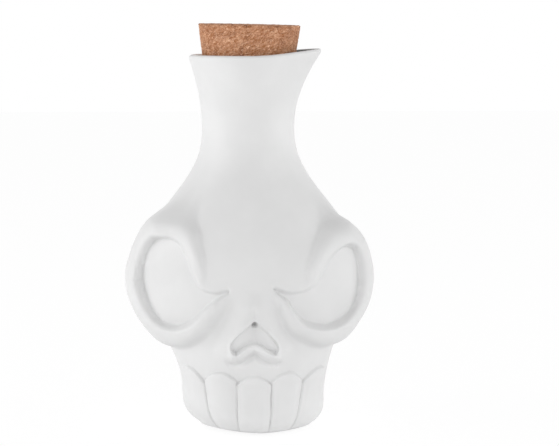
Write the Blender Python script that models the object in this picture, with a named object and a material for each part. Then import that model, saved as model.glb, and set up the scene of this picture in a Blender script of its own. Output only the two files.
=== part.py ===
"""A skull decanter: a slip-cast stoneware bottle with a pulled pouring lip, closed by a tapered cork.

The bottle is spun as one closed profile, pressed from round to the skull's sections, and then modelled
in relief as a potter would: eye rims and sockets, nose, lip and teeth. Sizes are in millimetres and
angles in degrees. Azimuths run round the bottle from the face, which looks along -Y, towards +X.
"""
import math

import bmesh
import bpy
import numpy as np

MM = 0.001

# Heights of the bottle's sections above the table
CORNER_LEVEL = 13.0
JAW_LEVEL = 25.0
CHEEK_LEVEL = 41.0
SKULL_LEVEL = 77.0
SHOULDER_LEVEL = 107.0
SLOPE_LEVEL = 123.0
NAPE_LEVEL = 136.0
WAIST_LEVEL = 150.0
FLARE_LEVEL = 169.0
LIP_LEVEL = 185.5

# Half widths of those sections, across the face; from the slope up the bottle is round
CORNER_HALF_WIDTH = 35.4
JAW_HALF_WIDTH = 36.2
CHEEK_HALF_WIDTH = 41.2
SKULL_HALF_WIDTH = 57.0
SHOULDER_HALF_WIDTH = 44.0
SLOPE_RADIUS = 31.8
NAPE_RADIUS = 24.9
WAIST_RADIUS = 22.9
FLARE_RADIUS = 25.3
LIP_RADIUS = 29.8

# Depths of the sections in front of the neck's axis and behind it
CORNER_FRONT = 39.3
JAW_FRONT = 40.0
CHEEK_FRONT = 45.4
SKULL_FRONT = 50.5
SHOULDER_FRONT = 41.5
CORNER_BACK = 36.0
JAW_BACK = 37.5
CHEEK_BACK = 44.0
SKULL_BACK = 53.0
SHOULDER_BACK = 43.5

# How far the hand-built middle line wanders to the side
FOOT_SHIFT = 4.0
CORNER_SHIFT = 1.5
JAW_SHIFT = 1.4
CHEEK_SHIFT = 0.7
SKULL_SHIFT = -0.2
NECK_SHIFT = -0.8

# How square the sections are: 2 is an ellipse, as all of them are further up
CORNER_SQUARENESS = 2.05
JAW_SQUARENESS = 2.5
CHEEK_SQUARENESS = 2.15
SKULL_SQUARENESS = 2.05

# Foot, walls and lip
FOOT_HALF_WIDTH = 23.0
FOOT_RING_WIDTH = 7.0
# The corner between the foot and the jaw: 2 is an ellipse's quarter
CORNER_BEND = 2.1
FOOT_RECESS = 1.2
BODY_WALL = 4.6
NECK_WALL = 3.6
LIP_WALL = 3.2
FLOOR_THICKNESS = 6.0
INNER_CORNER = 14.0

# Pouring lip, pulled out of the rim
SPOUT_AZIMUTH = 90.0
SPOUT_REACH = 7.6
SPOUT_RISE = 2.9
SPOUT_START = 148.0
SPOUT_SHARPNESS = 5.0
SPOUT_CLIMB = 2.6

# Cork stopper
CORK_LENGTH = 38.0
CORK_HALF_ANGLE = 8.0
CORK_TOP_LEVEL = 201.0
CORK_TOP_SLANT = 1.1
CORK_EDGE = 0.8
CORK_CLEARANCE = 0.35

# Each eye is drawn at the skull's level on a plane turned this far from the face. Its socket has a
# crowned floor, whose middle lies at an azimuth of its own and a depth under the section
EYE_AZIMUTH = 31.0
SOCKET_AZIMUTH = 44.0
SOCKET_DEPTH = 1.2
SOCKET_TURN = 0.01
SOCKET_LEAN = -0.045
SOCKET_CROWN_RADIUS = 85.0
# A wall climbs from the socket's crease and rolls over into the rim, which leans outwards as it falls away
WALL_ROLL = 1.8
RIM_FALL = 0.5
RIM_BLEND = 0.1
RIM_BLEND_HEIGHT = 24.0
RIM_LEAN = 2.5
# The upper rims stay level where the skull falls away under them, but not at their outer ends
RIM_LIFT = 0.55
RIM_LIFT_HEIGHT = 12.0
RIM_LIFT_END = 22.0
RIM_LIFT_FADE = 14.0
# Inside the bottle the eye shows as a softer and wider dent
INNER_RIM = 0.25
INNER_LEAD = 5.0
EYE_REACH = 50.0
# The brow above each socket, where a sponge softens the clay
BROW_START = 0.0
BROW_EDGE = 1.0
BROW_WIDTH = 22.0
SPONGE_STROKES = 6
# The creases in which the sockets' floors end. Each point: outward and up from the socket's middle, then
# the rim's height and width, and the width of the wall that climbs to it
RIGHT_SOCKET = [
    (13.5, 19.5, 11.5, 11.2, 2.4), (8.3, 20.3, 10, 11, 2.4), (3.5, 19.7, 6.6, 10, 2.8),
    (-0.5, 17.3, 4.0, 8, 3.4), (-2.9, 14.1, 2.8, 6, 3.6), (-4.6, 10.8, 2.1, 5.5, 4),
    (-6.1, 7.1, 1.6, 5, 4.2), (-8.3, 2.6, 1.1, 4, 4.2), (-11.8, -2.4, 0.6, 3.2, 3.0),
    (-16.5, -4.4, 0.4, 3, 1.7), (-21.6, -4.8, 0.2, 2.5, 1.5), (-26.6, -3.5, 0.0, 2, 1.2),
    (-23.5, -5.5, 1.6, 2.8, 2.2), (-20.4, -7.0, 3.2, 3.4, 3.2), (-16.4, -10.1, 4.8, 4.0, 4.0),
    (-11.6, -14.4, 6.2, 4.6, 4.5), (-5.7, -18.8, 7.2, 6.2, 4.0), (1.7, -21.3, 8.6, 8.6, 3.0),
    (9.3, -20.1, 11, 11.8, 2.5), (14.4, -15.3, 12.3, 12.6, 2.1), (18.8, -7.8, 11.0, 13.6, 1.8),
    (21.8, 0.8, 9.0, 13.2, 1.7), (21.1, 7.5, 8.1, 12.3, 1.7), (18.4, 14.2, 9.4, 11.8, 2.0),
]
LEFT_SOCKET = [
    (15.5, 14.7, 10.4, 11.0, 2.4), (10.4, 16.1, 9.4, 11.0, 2.6), (4.7, 12.7, 5.0, 9, 3.4),
    (0.0, 8.2, 2.8, 7, 4), (-3.8, 3.4, 1.8, 5.5, 4.2), (-7.6, -1.5, 1.2, 4.5, 4),
    (-11.7, -3.9, 0.7, 3.3, 2.5), (-16.4, -5.1, 0.4, 3, 1.7), (-22.4, -4.9, 0.2, 2.5, 1.5),
    (-29.1, -2.3, 0.0, 2, 1.2), (-25.6, -5.3, 1.6, 2.6, 2.2), (-22.1, -7.9, 3.0, 3.0, 3.0),
    (-19.5, -11.9, 4.4, 3.6, 3.8), (-14.9, -17.0, 6.0, 4.8, 4.2), (-7.6, -20.0, 7.2, 6.6, 3.6),
    (0.1, -21.0, 8.8, 9.4, 2.8), (7.5, -19.2, 10.5, 12.2, 2.4), (13.3, -15.5, 11.3, 12.6, 2.1),
    (16.7, -10.6, 10.6, 13.4, 1.9), (19.1, -2.6, 8.8, 13.6, 1.8), (19.4, 5.2, 8.1, 13.2, 1.8),
    (18.2, 10.9, 9.2, 12.0, 2.0),
]

# Nose: a shallow heart drawn from the front, across from the middle and up from the table
NOSE_OUTLINE = [
    (0.2, 59.6), (3.1, 56.9), (6.2, 54.1), (9.3, 50.6), (11.4, 47.6), (11.9, 44.6), (10.3, 42.4),
    (7.0, 43.8), (3.4, 46.5), (0.2, 47.7), (-2.8, 46.6), (-6.2, 43.9), (-8.6, 42.3), (-10.8, 43.9),
    (-11.5, 47.2), (-9.7, 50.8), (-6.4, 54.0), (-3.0, 56.9),
]
NOSE_DEPTH = 1.5
NOSE_WALL = 0.9
NOSE_EDGE_HEIGHT = 0.6
NOSE_EDGE_WIDTH = 2.2
NOSE_LEVEL = 52.0
NOSE_REACH = 34.0
# The tool's mark where the opening's two lobes meet
NOSE_PIT = (0.2, 57.9)
NOSE_PIT_DEPTH = 3.8
NOSE_PIT_RADIUS = 1.9
NOSE_BACKING = 2.6
NOSE_BACKING_RADIUS = 20.0
# The lip is a roll that follows the opening's lower edge, with a groove under it
LIP_HEIGHT = 3.2
LIP_WIDTH = 5.0
LIP_TOP = 50.0
LIP_DROOP = 0.42
LIP_FADE = 5.0
LIP_HALF_LENGTH = 14.6
LIP_END = 4.0
LIP_ROLL = 2.2
LIP_GROOVE_DEPTH = 1.1
LIP_GROOVE_WIDTH = 5.6
NOTCH_WIDTH = 2.0
LIP_SLOPE = 1.6
# A ridge runs down each side of the nose, from the bridge to the cheekbone's foot
BRIDGE_LEVEL = 70.0
CHEEKBONE_FOOT = (11.2, 44.0)
CHEEKBONE_HEIGHT = 2.8
CHEEKBONE_WIDTH = 9.5
CHEEKBONE_FADE = 10.0
CHEEKBONE_TAIL = 8.0

# Teeth: boundaries as azimuths, tops of the arches, and the grooves between them
TOOTH_EDGES = [-66.0, -34.2, -11.3, 12.2, 33.4, 66.0]
TOOTH_TOPS = [34.2, 33.0, 31.0, 32.8, 33.4]
TOOTH_ARCHES = [7.5, 4.6, 4.3, 4.6, 6.5]
TOOTH_HEIGHT = 1.6
TOOTH_EDGE = 1.2
TOOTH_ARCH_BEND = 2.1
TOOTH_CROWN = 0.8
TOOTH_CROWN_EDGE = 4.0
TOOTH_FOOT = 3.0
TOOTH_END_FADE = 12.0

# Finishes: linear colour and roughness
STONEWARE = ((0.80, 0.80, 0.79), 0.6)
CORK = ((0.50, 0.29, 0.15), 0.85)

# Fineness of the modelled surface: rows of points as start, end and step, and points round the bottle
ROW_STEPS = [(CORNER_LEVEL, 62.0, 0.6), (62.0, SHOULDER_LEVEL, 0.8), (SHOULDER_LEVEL, LIP_LEVEL, 2.0)]
CORNER_ROWS = 14
INNER_ROWS = 50
TURNS = 340
FACE_CROWDING = 0.55
EYE_CROWDING = 0.08
KEPT_FACES = 0.068
CORK_SIDES = 64


def smooth(share):
    """Eases from 0 to 1 as share goes from 0 to 1."""
    share = np.clip(share, 0.0, 1.0)
    return share * share * (3.0 - 2.0 * share)


def spline(levels, values):
    """The natural cubic curve through the stations, as a function of level."""
    x, y = np.array(levels, float), np.array(values, float)
    h, count = np.diff(x), len(x)
    system, right = np.eye(count), np.zeros(count)
    for i in range(1, count - 1):
        system[i, i - 1 : i + 2] = h[i - 1], 2 * (h[i - 1] + h[i]), h[i]
        right[i] = 6 * ((y[i + 1] - y[i]) / h[i] - (y[i] - y[i - 1]) / h[i - 1])
    bend = np.linalg.solve(system, right)

    def value(at):
        at = np.minimum(np.asarray(at, float), x[-1])
        i = np.clip(np.searchsorted(x, at) - 1, 0, count - 2)
        left, span = at - x[i], h[i]
        rest = x[i + 1] - at
        return (
            (bend[i] * rest**3 + bend[i + 1] * left**3) / (6 * span)
            + (y[i] / span - bend[i] * span / 6) * rest
            + (y[i + 1] / span - bend[i + 1] * span / 6) * left
        )

    return value


LEVELS = [
    CORNER_LEVEL, JAW_LEVEL, CHEEK_LEVEL, SKULL_LEVEL, SHOULDER_LEVEL,
    SLOPE_LEVEL, NAPE_LEVEL, WAIST_LEVEL, FLARE_LEVEL, LIP_LEVEL,
]
NECK = [SLOPE_RADIUS, NAPE_RADIUS, WAIST_RADIUS, FLARE_RADIUS, LIP_RADIUS]
WIDTHS = [CORNER_HALF_WIDTH, JAW_HALF_WIDTH, CHEEK_HALF_WIDTH, SKULL_HALF_WIDTH, SHOULDER_HALF_WIDTH]
side_width = spline(LEVELS, WIDTHS + NECK)
front_depth = spline(LEVELS, [CORNER_FRONT, JAW_FRONT, CHEEK_FRONT, SKULL_FRONT, SHOULDER_FRONT] + NECK)
back_depth = spline(LEVELS, [CORNER_BACK, JAW_BACK, CHEEK_BACK, SKULL_BACK, SHOULDER_BACK] + NECK)
SQUARENESS = [CORNER_SQUARENESS, JAW_SQUARENESS, CHEEK_SQUARENESS, SKULL_SQUARENESS]
squareness = spline(LEVELS, SQUARENESS + [2.0] * (len(LEVELS) - len(SQUARENESS)))
middle_shift = spline(
    [0, CORNER_LEVEL, JAW_LEVEL, CHEEK_LEVEL, SKULL_LEVEL, NAPE_LEVEL, LIP_LEVEL],
    [FOOT_SHIFT, CORNER_SHIFT, JAW_SHIFT, CHEEK_SHIFT, SKULL_SHIFT, NECK_SHIFT, NECK_SHIFT],
)


def half_width(level):
    """Half width of the spun blank: the sections, with the rounded corner below them."""
    level = np.asarray(level, float)
    drop = np.clip((CORNER_LEVEL - level) / CORNER_LEVEL, 0.0, 1.0)
    tuck = (CORNER_HALF_WIDTH - FOOT_HALF_WIDTH) * (1.0 - (1.0 - drop**CORNER_BEND) ** (1 / CORNER_BEND))
    return side_width(level) - tuck


def section_share(azimuth, level):
    """How far the section reaches at an azimuth, as a share of its half width."""
    power = squareness(level)
    across = np.abs(np.sin(azimuth))
    along = np.cos(azimuth)
    depth = np.where(along > 0, front_depth(level), back_depth(level)) / side_width(level)
    return (across**power + np.abs(along / depth) ** power) ** (-1.0 / power)


def closed_curve(points, steps=8):
    """A smooth closed curve through the points, as many short chords; extra columns follow along."""
    p = np.array(points, float)
    before, after, second = np.roll(p, 1, 0), np.roll(p, -1, 0), np.roll(p, -2, 0)
    chords = []
    for t in np.arange(steps) / steps:
        chords.append(
            p + 0.5 * ((after - before) * t
                       + (2 * before - 5 * p + 4 * after - second) * t**2
                       + (3 * p - before - 3 * after + second) * t**3)
        )
    return np.stack(chords, 1).reshape(-1, p.shape[1])


def measure_from(curve, u, v):
    """Distance of each point from a closed curve, above 0 inside it, and the nearest chord's columns."""
    nearest = np.full(u.shape, 1e9)
    inside = np.zeros(u.shape, bool)
    extras = np.zeros(u.shape + (curve.shape[1] - 2,))
    for start, end in zip(curve, np.roll(curve, -1, 0)):
        (ax, ay), (dx, dy) = start[:2], end[:2] - start[:2]
        along = np.clip(((u - ax) * dx + (v - ay) * dy) / (dx * dx + dy * dy), 0.0, 1.0)
        distance = np.hypot(u - ax - along * dx, v - ay - along * dy)
        closer = distance < nearest
        nearest[closer] = distance[closer]
        extras[closer] = start[2:] + along[closer, None] * (end[2:] - start[2:])
        if dy != 0:
            inside ^= ((ay > v) != (ay + dy > v)) & (u < ax + dx * (v - ay) / dy)
    return np.where(inside, nearest, -nearest), extras


def unit(vectors):
    return vectors / np.linalg.norm(vectors, axis=1)[:, None]


def model_eye(points, outline, side, inner):
    """Raises the rim round one eye and presses its socket in, along the eye's own direction.

    Returns which points lie on the brow, outside the socket's upper edge.
    """
    turn = math.radians(EYE_AZIMUTH)
    out = np.array([side * math.sin(turn), -math.cos(turn), 0.0])
    across = np.array([side * math.cos(turn), math.sin(turn), 0.0])
    reach = SKULL_HALF_WIDTH * section_share(math.radians(SOCKET_AZIMUTH), SKULL_LEVEL)
    angle = math.radians(SOCKET_AZIMUTH - EYE_AZIMUTH)
    s, t = points @ across - reach * math.sin(angle), points[:, 2] - SKULL_LEVEL
    near = (points @ out > 0) & (np.hypot(s, t) < EYE_REACH)
    s, t, spot = s[near], t[near], points[near]
    inward, extras = measure_from(closed_curve(outline), s, t)
    height, width, wall = extras.T

    outward = np.maximum(-inward, 0)
    fall = np.clip((outward - wall) / width, 0, 1)
    softness = RIM_FALL + RIM_BLEND * smooth(t / RIM_BLEND_HEIGHT + 0.5)
    lift = RIM_LIFT * smooth(t / RIM_LIFT_HEIGHT) * smooth((RIM_LIFT_END - s) / RIM_LIFT_FADE)
    rim = (height + lift * fall * width) * (1 - fall**2) ** softness
    lean = RIM_LEAN * np.sqrt(fall)
    floor = reach * math.cos(angle) - SOCKET_DEPTH + SOCKET_TURN * s + SOCKET_LEAN * t
    floor -= (s**2 + t**2) / (2 * SOCKET_CROWN_RADIUS)
    press = np.clip(1 - outward / wall, 0, 1) ** WALL_ROLL
    if inner:
        floor -= BODY_WALL
        press = smooth(1 - outward / (wall + INNER_LEAD))
        rim *= INNER_RIM
    raised = spot + unit(unit(spot * [1, 1, 0]) * lean[:, None] + out) * rim[:, None]
    pressed = spot + out * (floor - spot @ out)[:, None]
    points[near] = raised + (pressed - raised) * press[:, None]
    brow = np.zeros(len(points), bool)
    brow[near] = (t > BROW_START) & (outward > BROW_EDGE) & (outward < BROW_WIDTH)
    return brow


def model_nose(points):
    """The cheekbones' ridges, the heart-shaped opening, its raised edge and the lip below it."""
    near = (points[:, 1] < 0) & (np.hypot(points[:, 0], points[:, 2] - NOSE_LEVEL) < NOSE_REACH)
    x, z = points[near, 0], points[near, 2]
    aside = np.hypot(x, NOTCH_WIDTH) - NOTCH_WIDTH
    foot_x, foot_z = CHEEKBONE_FOOT
    along = np.clip((BRIDGE_LEVEL - z) / (BRIDGE_LEVEL - foot_z), 0, 1)
    off = np.abs(np.abs(x) - foot_x * along)
    top_fade = smooth((BRIDGE_LEVEL - z) / CHEEKBONE_FADE + 0.5)
    foot_fade = smooth((z - foot_z + CHEEKBONE_TAIL) / CHEEKBONE_FADE)
    rise = CHEEKBONE_HEIGHT * (1 - smooth(off / CHEEKBONE_WIDTH)) * top_fade * foot_fade
    inward, _ = measure_from(closed_curve(NOSE_OUTLINE), x, z)
    outward = np.maximum(-inward, 0)
    low = smooth((LIP_TOP - LIP_DROOP * aside - z) / LIP_FADE)
    rise += NOSE_EDGE_HEIGHT * (1 - smooth(outward / NOSE_EDGE_WIDTH)) * (1 - low)
    ends = smooth((LIP_HALF_LENGTH - np.abs(x)) / LIP_END)
    roll = 1 - np.clip(outward / LIP_WIDTH, 0, 1) ** LIP_ROLL
    groove = 1 - smooth(np.abs(outward - LIP_WIDTH) * 2 / LIP_GROOVE_WIDTH)
    lip = low * ends * (LIP_HEIGHT * roll - LIP_GROOVE_DEPTH * groove)
    pit_x, pit_z = NOSE_PIT
    pit = NOSE_PIT_DEPTH * (1 - smooth(np.hypot(x - pit_x, z - pit_z) / NOSE_PIT_RADIUS))
    press = smooth(inward / (NOSE_WALL + low * LIP_SLOPE))
    rise += lip * (1 - press) - press * (NOSE_DEPTH + pit)
    points[near, 1] -= rise


def back_nose(points):
    """Thickens the wall behind the nose, so that its pit stays closed."""
    x, z = NOSE_PIT
    away = np.hypot(points[:, 0] - x, points[:, 2] - z) / NOSE_BACKING_RADIUS
    points[:, 1] += np.where(points[:, 1] < 0, NOSE_BACKING * (1 - smooth(away)), 0)


def tooth_relief(azimuth, level):
    """Rise of the teeth on the jaw: rounded plates with arched tops, meeting in narrow grooves."""
    turn = np.degrees(azimuth)
    rise = np.zeros(azimuth.shape)
    degree = JAW_FRONT * math.radians(1)
    for left, right, top, arch in zip(TOOTH_EDGES, TOOTH_EDGES[1:], TOOTH_TOPS, TOOTH_ARCHES):
        half = (right - left) / 2 * degree
        off = (turn - (left + right) / 2) * degree
        below_arch = top - arch * np.abs(off / half) ** TOOTH_ARCH_BEND - level
        inward = np.minimum(half - np.abs(off), below_arch)
        edge = 1 - np.clip(inward / TOOTH_EDGE, 0, 1)
        crown = TOOTH_CROWN * (1 - np.clip(off / half, -1, 1) ** 2)
        plate = TOOTH_HEIGHT * np.sqrt(1 - edge**2) + crown * smooth(inward / TOOTH_CROWN_EDGE)
        rise += np.where(inward > 0, plate, 0)
    ends = smooth((TOOTH_EDGES[-1] - np.abs(turn)) / TOOTH_END_FADE)
    return rise * smooth(level / TOOTH_FOOT) * ends


def bottle_profile():
    """The spun profile from under the foot up the outside, over the lip and down the inside."""
    ring = FOOT_HALF_WIDTH - FOOT_RING_WIDTH
    outside = [(ring * k / 4, FOOT_RECESS) for k in range(4)]
    outside += [(ring - FOOT_RECESS, FOOT_RECESS), (ring, 0.0)]
    outside += [(ring + FOOT_RING_WIDTH * k / 3, 0.0) for k in (1, 2)]
    for k in range(CORNER_ROWS):
        level = CORNER_LEVEL * (1 - math.cos(math.pi / 2 * k / CORNER_ROWS))
        outside.append((float(half_width(level)), level))
    top = LIP_LEVEL - LIP_WALL / 2
    for level, end, step in ROW_STEPS:
        while level < min(end, top) - 0.5 * step:
            outside.append((float(half_width(level)), level))
            level += step
    outside.append((float(half_width(top)), top))
    middle = float(half_width(top)) - LIP_WALL / 2
    turns = [math.pi * k / 8 for k in range(1, 8)]
    lip = [(middle + LIP_WALL / 2 * math.cos(a), top + LIP_WALL / 2 * math.sin(a)) for a in turns]
    floor_top = FLOOR_THICKNESS + INNER_CORNER
    levels = np.linspace(top, floor_top, INNER_ROWS)
    inside = [(inner_radius(level), level) for level in levels]
    floor = inside[-1][0] - INNER_CORNER
    turns = [math.pi / 2 * k / 8 for k in range(1, 9)]
    inside += [(floor + INNER_CORNER * math.cos(a), floor_top - INNER_CORNER * math.sin(a)) for a in turns]
    inside += [(floor * k / 4, FLOOR_THICKNESS) for k in (3, 2, 1, 0)]
    return outside + lip, inside


def inner_radius(level):
    """Radius of the blank's inside, a wall's thickness square to the outside."""
    slope = float(half_width(level + 0.5) - half_width(level - 0.5))
    neck = smooth((level - SHOULDER_LEVEL) / (WAIST_LEVEL - SHOULDER_LEVEL))
    lip = smooth((level - FLARE_LEVEL) / (LIP_LEVEL - FLARE_LEVEL))
    wall = BODY_WALL + (NECK_WALL - BODY_WALL) * neck + (LIP_WALL - NECK_WALL) * lip
    return float(half_width(level) - wall * math.sqrt(1 + slope**2))


def spun_blank():
    """The closed blank as a mesh, with each point's part of the profile in its 'inner' attribute."""
    outside, inside = bottle_profile()
    mesh = bmesh.new()
    inner = mesh.verts.layers.int.new("inner")
    profile = []
    for number, (radius, level) in enumerate(outside + inside):
        vert = mesh.verts.new((radius, 0, level))
        vert[inner] = number >= len(outside)
        profile.append(vert)
    edges = [mesh.edges.new(pair) for pair in zip(profile, profile[1:])]
    bmesh.ops.spin(
        mesh, geom=profile + edges, cent=(0, 0, 0), axis=(0, 0, 1), angle=math.tau, steps=TURNS,
        use_merge=True,
    )
    bmesh.ops.remove_doubles(mesh, verts=mesh.verts, dist=1e-4)
    bmesh.ops.recalc_face_normals(mesh, faces=mesh.faces)
    data = bpy.data.meshes.new("skull_bottle")
    mesh.to_mesh(data)
    mesh.free()
    return data


def pull_spout(points):
    """Draws the rim out and up on one side into a pouring lip."""
    across = points[:, 0] - NECK_SHIFT
    azimuth = np.arctan2(across, -points[:, 1])
    radius = np.hypot(across, points[:, 1])
    toward = np.maximum(0, np.cos(azimuth - math.radians(SPOUT_AZIMUTH)))
    climb = np.clip((points[:, 2] - SPOUT_START) / (LIP_LEVEL - SPOUT_START), 0, None) ** SPOUT_CLIMB
    radius = radius + SPOUT_REACH * toward**SPOUT_SHARPNESS * climb
    points[:, 2] += SPOUT_RISE * toward**2 * climb
    points[:, 0] = radius * np.sin(azimuth) + NECK_SHIFT
    points[:, 1] = -radius * np.cos(azimuth)


def press_sections(points, is_inner):
    """Presses the round blank to the skull's sections, with more of its points towards the face."""
    radius = np.hypot(points[:, 0], points[:, 1])
    azimuth = np.arctan2(points[:, 0], -points[:, 1])
    azimuth -= FACE_CROWDING * np.sin(azimuth) - EYE_CROWDING * np.sin(2 * azimuth)
    level = points[:, 2]
    radius *= section_share(azimuth, level)
    across = radius * np.sin(azimuth) + middle_shift(level)
    along = -radius * np.cos(azimuth)
    azimuth = np.arctan2(across, -along)
    rise = np.where(is_inner, 0, tooth_relief(azimuth, level))
    return np.stack([across + rise * np.sin(azimuth), along - rise * np.cos(azimuth), level], 1)


def sponge(data, soft):
    """Softens the marked points of a mesh, as a damp sponge does to clay."""
    mesh = bmesh.new()
    mesh.from_mesh(data)
    mesh.verts.ensure_lookup_table()
    verts = [mesh.verts[i] for i in np.flatnonzero(soft)]
    for stroke in range(SPONGE_STROKES):
        bmesh.ops.smooth_vert(
            mesh, verts=verts, factor=0.5, use_axis_x=True, use_axis_y=True, use_axis_z=True
        )
    mesh.to_mesh(data)
    mesh.free()


def skull_bottle():
    data = spun_blank()
    points = np.empty(len(data.vertices) * 3, np.float32)
    data.vertices.foreach_get("co", points)
    is_inner = np.empty(len(data.vertices), np.int32)
    data.attributes["inner"].data.foreach_get("value", is_inner)
    is_inner = is_inner.astype(bool)
    points = press_sections(points.reshape(-1, 3).astype(float), is_inner)
    outside, inside = points[~is_inner], points[is_inner]
    brow = np.zeros(len(outside), bool)
    for outline, side in ((RIGHT_SOCKET, -1), (LEFT_SOCKET, 1)):
        brow |= model_eye(outside, outline, side, False)
        model_eye(inside, outline, side, True)
    model_nose(outside)
    back_nose(inside)
    points[~is_inner], points[is_inner] = outside, inside
    pull_spout(points)
    data.vertices.foreach_set("co", (points * MM).astype(np.float32).ravel())
    data.attributes.remove(data.attributes["inner"])
    soft = np.zeros(len(points), bool)
    soft[~is_inner] = brow
    sponge(data, soft)
    data.shade_smooth()
    obj = add_object("skull_bottle", data, STONEWARE)
    thin = obj.modifiers.new("Thin out the plain stretches", "DECIMATE")
    thin.ratio = KEPT_FACES
    return obj


def cork_stopper():
    """A tapered cork, sized so that it seats in the neck with its clearance all round."""
    taper = math.tan(math.radians(CORK_HALF_ANGLE))
    bottom = CORK_TOP_LEVEL - CORK_LENGTH
    seats = np.linspace(bottom, LIP_LEVEL - LIP_WALL, 60)
    base_radius = min(inner_radius(level) - (level - bottom) * taper for level in seats) - CORK_CLEARANCE
    top_radius = base_radius + CORK_LENGTH * taper
    mesh = bmesh.new()
    bmesh.ops.create_cone(
        mesh, cap_ends=True, segments=CORK_SIDES, radius1=base_radius * MM, radius2=top_radius * MM,
        depth=CORK_LENGTH * MM,
    )
    rims = [edge for edge in mesh.edges if abs(edge.verts[0].co.z - edge.verts[1].co.z) < 1e-6]
    bmesh.ops.bevel(
        mesh, geom=rims, offset=CORK_EDGE * MM, segments=3, profile=0.5, affect="EDGES", material=-1
    )
    half = CORK_LENGTH / 2 * MM
    for vert in mesh.verts:
        share = (vert.co.z + half) / (2 * half)
        vert.co.z += half - CORK_TOP_SLANT * MM * share * vert.co.x / (2 * top_radius * MM)
    data = bpy.data.meshes.new("cork_stopper")
    mesh.to_mesh(data)
    mesh.free()
    data.shade_smooth()
    data.set_sharp_from_angle(angle=math.radians(35))
    obj = add_object("cork_stopper", data, CORK)
    obj.location = (NECK_SHIFT * MM, 0, bottom * MM)
    return obj


def add_object(name, data, finish):
    material = bpy.data.materials.new(name)
    material.use_nodes = True
    shader = material.node_tree.nodes["Principled BSDF"]
    colour, roughness = finish
    shader.inputs["Base Color"].default_value = (*colour, 1)
    shader.inputs["Roughness"].default_value = roughness
    shader.inputs["Metallic"].default_value = 0
    data.materials.append(material)
    obj = bpy.data.objects.new(name, data)
    bpy.context.scene.collection.objects.link(obj)
    return obj


def main():
    for obj in list(bpy.data.objects):
        bpy.data.objects.remove(obj)
    skull_bottle()
    cork_stopper()


main()
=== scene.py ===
# %% [markdown]
# # A skull decanter in white stoneware, with a cork
#
# The real piece is a slip-cast bottle: a skull for a body, a waisted neck, a lip pulled out of the
# rim, and a tapered stopper of agglomerated cork. Only two separate pieces exist, so all the work
# goes into one well modelled wall of clay and two convincing materials.
#
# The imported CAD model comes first. It fixes every place and size, and the pieces made here stand in
# for its solids.

# %% Load the frame and measure it
import math

import bmesh
import bpy
import numpy as np
from mathutils import Matrix, Vector, noise


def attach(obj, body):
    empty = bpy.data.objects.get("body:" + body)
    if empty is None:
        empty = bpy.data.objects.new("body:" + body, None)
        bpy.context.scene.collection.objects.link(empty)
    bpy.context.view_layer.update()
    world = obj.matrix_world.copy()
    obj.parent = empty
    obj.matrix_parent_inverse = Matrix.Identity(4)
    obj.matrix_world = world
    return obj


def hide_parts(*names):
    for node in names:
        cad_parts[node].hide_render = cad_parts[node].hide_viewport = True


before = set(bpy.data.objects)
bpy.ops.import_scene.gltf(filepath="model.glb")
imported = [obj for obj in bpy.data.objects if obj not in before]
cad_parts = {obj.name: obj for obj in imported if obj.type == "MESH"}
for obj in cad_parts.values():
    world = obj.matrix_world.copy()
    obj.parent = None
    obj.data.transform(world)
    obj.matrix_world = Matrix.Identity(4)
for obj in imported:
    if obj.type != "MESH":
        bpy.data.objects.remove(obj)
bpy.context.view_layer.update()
MM = 0.001

# %% [markdown]
# ## Soft transitions and smooth curves
#
# Clay has no hard corners, so nearly every form here fades in and out. One easing function does that.
# A bottle's outline could be drawn as a Bezier curve, but a natural cubic spline through a handful of
# measured stations gives the same flow and takes plain sizes in millimetres.

# %% Easing and splines
def smooth(share):
    """Eases from 0 to 1 as share goes from 0 to 1."""
    share = np.clip(share, 0.0, 1.0)
    return share * share * (3.0 - 2.0 * share)


def spline(levels, values):
    """The natural cubic curve through the stations, as a function of level."""
    x, y = np.array(levels, float), np.array(values, float)
    h, count = np.diff(x), len(x)
    system, right = np.eye(count), np.zeros(count)
    for i in range(1, count - 1):
        system[i, i - 1 : i + 2] = h[i - 1], 2 * (h[i - 1] + h[i]), h[i]
        right[i] = 6 * ((y[i + 1] - y[i]) / h[i] - (y[i] - y[i - 1]) / h[i - 1])
    bend = np.linalg.solve(system, right)

    def value(at):
        at = np.minimum(np.asarray(at, float), x[-1])
        i = np.clip(np.searchsorted(x, at) - 1, 0, count - 2)
        left, span = at - x[i], h[i]
        rest = x[i + 1] - at
        return (
            (bend[i] * rest**3 + bend[i + 1] * left**3) / (6 * span)
            + (y[i] / span - bend[i] * span / 6) * rest
            + (y[i + 1] / span - bend[i + 1] * span / 6) * left
        )

    return value


print("halfway eases to", smooth(0.5), "and a quarter to", smooth(0.25))

# %% [markdown]
# ## The bottle's sections
#
# The bottle is close to a turned pot, but its skull is wider than deep, its jaw is squarish and its
# middle line wanders a little, as on hand-built ware. A box model with subdivision could give that,
# but it is hard to keep to a photograph. Here a round blank is spun and then pressed, and ten
# stations from the jaw to the lip say how wide and deep it is.

# %% Stations of the outline
# Heights of the bottle's sections above the table
CORNER_LEVEL = 13.0
JAW_LEVEL = 25.0
CHEEK_LEVEL = 41.0
SKULL_LEVEL = 77.0
SHOULDER_LEVEL = 107.0
SLOPE_LEVEL = 123.0
NAPE_LEVEL = 136.0
WAIST_LEVEL = 150.0
FLARE_LEVEL = 169.0
LIP_LEVEL = 185.5
# Half widths of those sections, across the face; from the slope up the bottle is round
CORNER_HALF_WIDTH = 35.4
JAW_HALF_WIDTH = 36.2
CHEEK_HALF_WIDTH = 41.2
SKULL_HALF_WIDTH = 57.0
SHOULDER_HALF_WIDTH = 44.0
SLOPE_RADIUS = 31.8
NAPE_RADIUS = 24.9
WAIST_RADIUS = 22.9
FLARE_RADIUS = 25.3
LIP_RADIUS = 29.8
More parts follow.
